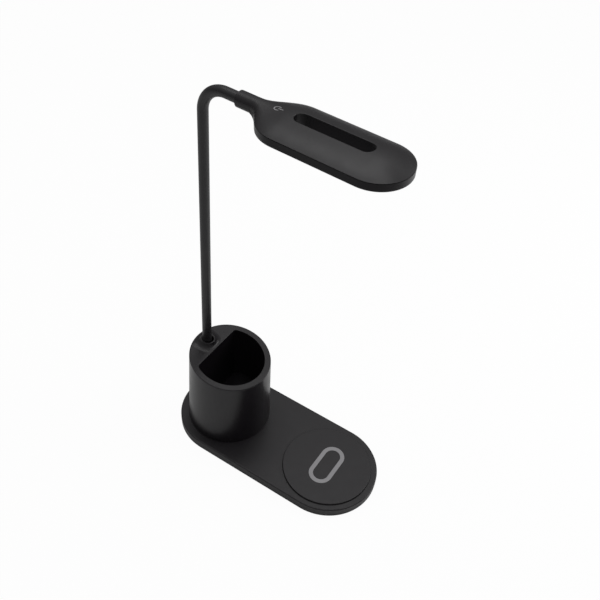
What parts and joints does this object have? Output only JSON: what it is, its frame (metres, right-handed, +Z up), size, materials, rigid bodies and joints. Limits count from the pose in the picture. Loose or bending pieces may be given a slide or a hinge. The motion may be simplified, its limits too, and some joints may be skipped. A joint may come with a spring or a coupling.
{
  "type": "desk lamp",
  "caption": "Gooseneck LED desk lamp on a stadium base with a slanted round pen cup and a raised wireless-charging disc; the racetrack head has a long slot.",
  "frame": {"origin": "on the table at the centre of the base's footprint, which is also the bottom centre of the whole lamp's box", "axes": "+X toward the charging disc, -X toward the pen cup and the stem, +Z up; the base is symmetric about the XZ plane"},
  "size_m": [0.2192, 0.1, 0.3865],
  "materials": {
    "base_black": "satin, fine moulded texture",
    "cup_black": "satin",
    "head_black": "satin",
    "sleeve_rubber": "smooth, matt",
    "foot_rubber": "matt",
    "mark_grey": "printed, light grey",
    "milky_cover": "milky, translucent",
    "screw_steel": "bright zinc",
    "weight_steel": "rolled, dull",
    "conduit_steel": "dull",
    "ferrule_steel": "turned",
    "inlet_metal": "stamped",
    "copper": "enamelled wire",
    "ferrite": "dull grey",
    "inner_plastic": "natural white",
    "board_green": "lacquered circuit board",
    "component_black": "moulded",
    "led_board_aluminium": "white lacquer on aluminium",
    "led_yellow": "phosphor",
    "lead_grey": "smooth"
  },
  "bodies": {
    "base": {"base_top_cover": "base_black", "base_bottom_cover": "base_black", "base_feet": "foot_rubber", "base_screws": "screw_steel", "counterweight": "weight_steel", "counterweight_screws": "screw_steel", "charger_pad": "base_black", "pad_phone_mark": "mark_grey", "charging_coil": "copper", "coil_ferrite": "ferrite", "coil_carrier": "inner_plastic", "charger_board": "board_green", "charger_components": "component_black", "power_inlet": "inlet_metal", "inlet_board": "board_green", "cup_shell": "cup_black", "cup_floor": "cup_black", "pen_bucket": "cup_black", "cup_deck": "cup_black", "cup_screws": "screw_steel", "driver_board": "board_green", "driver_components": "component_black", "stem_ferrule": "ferrule_steel", "stem_nut": "ferrule_steel", "neck_core_0": "conduit_steel", "neck_sleeve_0": "sleeve_rubber", "lamp_lead_0": "lead_grey"},
    "neck_1": {"neck_core_1": "conduit_steel", "neck_sleeve_1": "sleeve_rubber", "lamp_lead_1": "lead_grey"},
    "neck_2": {"neck_core_2": "conduit_steel", "neck_sleeve_2": "sleeve_rubber", "lamp_lead_2": "lead_grey"},
    "neck_3": {"neck_core_3": "conduit_steel", "neck_sleeve_3": "sleeve_rubber", "lamp_lead_3": "lead_grey"},
    "neck_4": {"neck_core_4": "conduit_steel", "neck_sleeve_4": "sleeve_rubber", "lamp_lead_4": "lead_grey"},
    "neck_5": {"neck_core_5": "conduit_steel", "neck_sleeve_5": "sleeve_rubber", "lamp_lead_5": "lead_grey"},
    "neck_6": {"neck_core_6": "conduit_steel", "neck_sleeve_6": "sleeve_rubber", "lamp_lead_6": "lead_grey"},
    "neck_7": {"neck_core_7": "conduit_steel", "neck_sleeve_7": "sleeve_rubber", "lamp_lead_7": "lead_grey", "neck_end_ferrule": "ferrule_steel"},
    "head": {"head_top_shell": "head_black", "head_bezel": "head_black", "head_diffuser": "milky_cover", "led_board": "led_board_aluminium", "led_chips": "led_yellow", "led_board_screws": "screw_steel", "head_screws": "screw_steel", "touch_mark": "mark_grey", "touch_plug": "foot_rubber", "touch_board": "board_green"}
  },
  "joints": [
    {"name": "neck_fore_aft_low", "type": "hinge", "parent": "base", "child": "neck_1", "pos_m": [-0.0876, 0, 0.13037], "axis": [0, 1, 0], "range_deg": [-12, 22], "deforming": ["neck_sleeve_0", "lamp_lead_0", "neck_sleeve_1", "lamp_lead_1"]},
    {"name": "neck_sideways_low", "type": "hinge", "parent": "neck_1", "child": "neck_2", "pos_m": [-0.0876, 0, 0.19452], "axis": [1, 0, 0], "range_deg": [-22, 22], "deforming": ["neck_sleeve_2", "lamp_lead_2"]},
    {"name": "neck_fore_aft_high", "type": "hinge", "parent": "neck_2", "child": "neck_3", "pos_m": [-0.0876, 0, 0.25867], "axis": [0, 1, 0], "range_deg": [-12, 22], "deforming": ["neck_sleeve_3", "lamp_lead_3"]},
    {"name": "neck_sideways_high", "type": "hinge", "parent": "neck_3", "child": "neck_4", "pos_m": [-0.0876, 0, 0.32282], "axis": [1, 0, 0], "range_deg": [-22, 22], "deforming": ["neck_sleeve_4", "lamp_lead_4"]},
    {"name": "bend_low", "type": "hinge", "parent": "neck_4", "child": "neck_5", "pos_m": [-0.08586, -0.00011, 0.36374], "axis": [0.061, 0.9981, 0], "range_deg": [-18, 18], "deforming": ["neck_sleeve_5", "lamp_lead_5"]},
    {"name": "bend_high", "type": "hinge", "parent": "neck_5", "child": "neck_6", "pos_m": [-0.07347, -0.00086, 0.37633], "axis": [0.061, 0.9981, 0], "range_deg": [-18, 18], "deforming": ["neck_sleeve_6", "lamp_lead_6"]},
    {"name": "head_yaw", "type": "hinge", "parent": "neck_6", "child": "neck_7", "pos_m": [-0.05968, -0.00171, 0.37827], "axis": [-0.0139, 0.0009, 0.9999], "range_deg": [-25, 25], "deforming": ["neck_sleeve_7", "lamp_lead_7"]},
    {"name": "head_twist", "type": "hinge", "parent": "neck_7", "child": "head", "pos_m": [-0.0467, -0.0025, 0.37845], "axis": [0.998, -0.061, 0.014], "range_deg": [-40, 40]}
  ]
}
